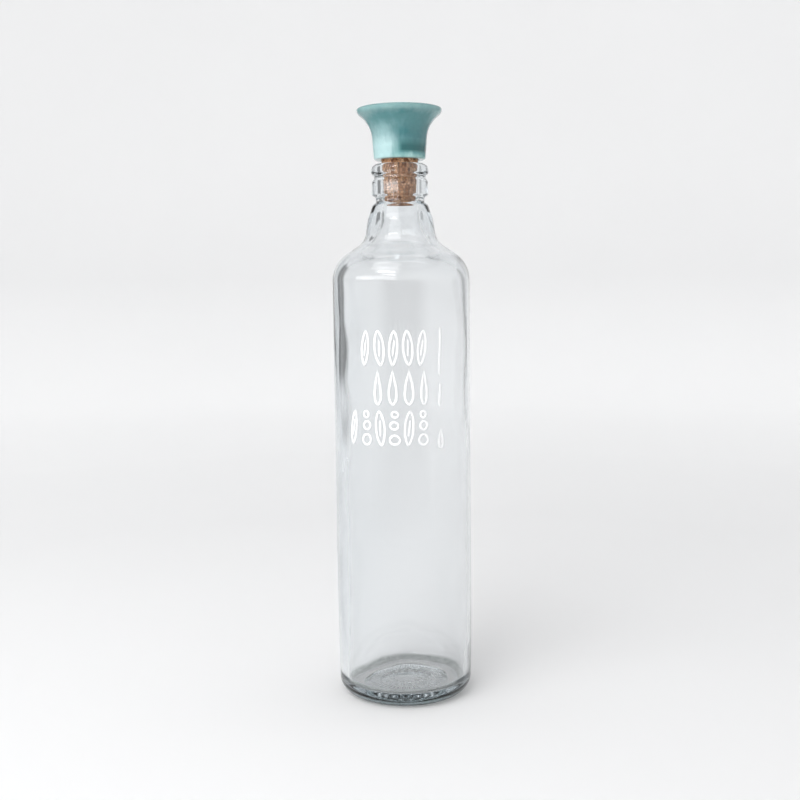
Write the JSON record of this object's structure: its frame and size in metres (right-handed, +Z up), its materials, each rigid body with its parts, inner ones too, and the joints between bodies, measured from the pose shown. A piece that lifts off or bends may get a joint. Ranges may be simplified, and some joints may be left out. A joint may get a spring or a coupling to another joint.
{
  "type": "stoppered glass water bottle",
  "caption": "Clear thick-walled glass water bottle with a tapered cork stopper under a glazed ceramic trumpet-shaped knob, with white enamel leaves and drops on its front.",
  "frame": {"origin": "centre of the bottle's base, on the plane of its bearing ring", "axes": "+Z up along the bottle's axis towards the stopper, -Y towards the decorated front, +X to the right seen from the front"},
  "size_m": [0.076, 0.0761, 0.326],
  "materials": {
    "glass": "clear moulded glass with a faint grey-green tint, smooth and slightly uneven",
    "cork": "agglomerated cork, matt granules with dark specks",
    "glaze": "glossy turquoise glaze, thinner and paler at the rim, pooled darker in the hollows",
    "glue": "set glue, dull amber",
    "enamel": "fired white screen-printed enamel, satin"
  },
  "bodies": {
    "bottle": {"glass_bottle": "glass", "enamel_upper_row": "enamel", "enamel_middle_row": "enamel", "enamel_lower_row": "enamel", "enamel_side_column": "enamel"},
    "stopper": {"cork_plug": "cork", "ceramic_knob": "glaze", "glue_layer": "glue"}
  },
  "joints": [
    {"name": "stopper_pull", "type": "slide", "parent": "bottle", "child": "stopper", "axis": [0, 0, 1], "range_m": [0, 0.06]}
  ]
}
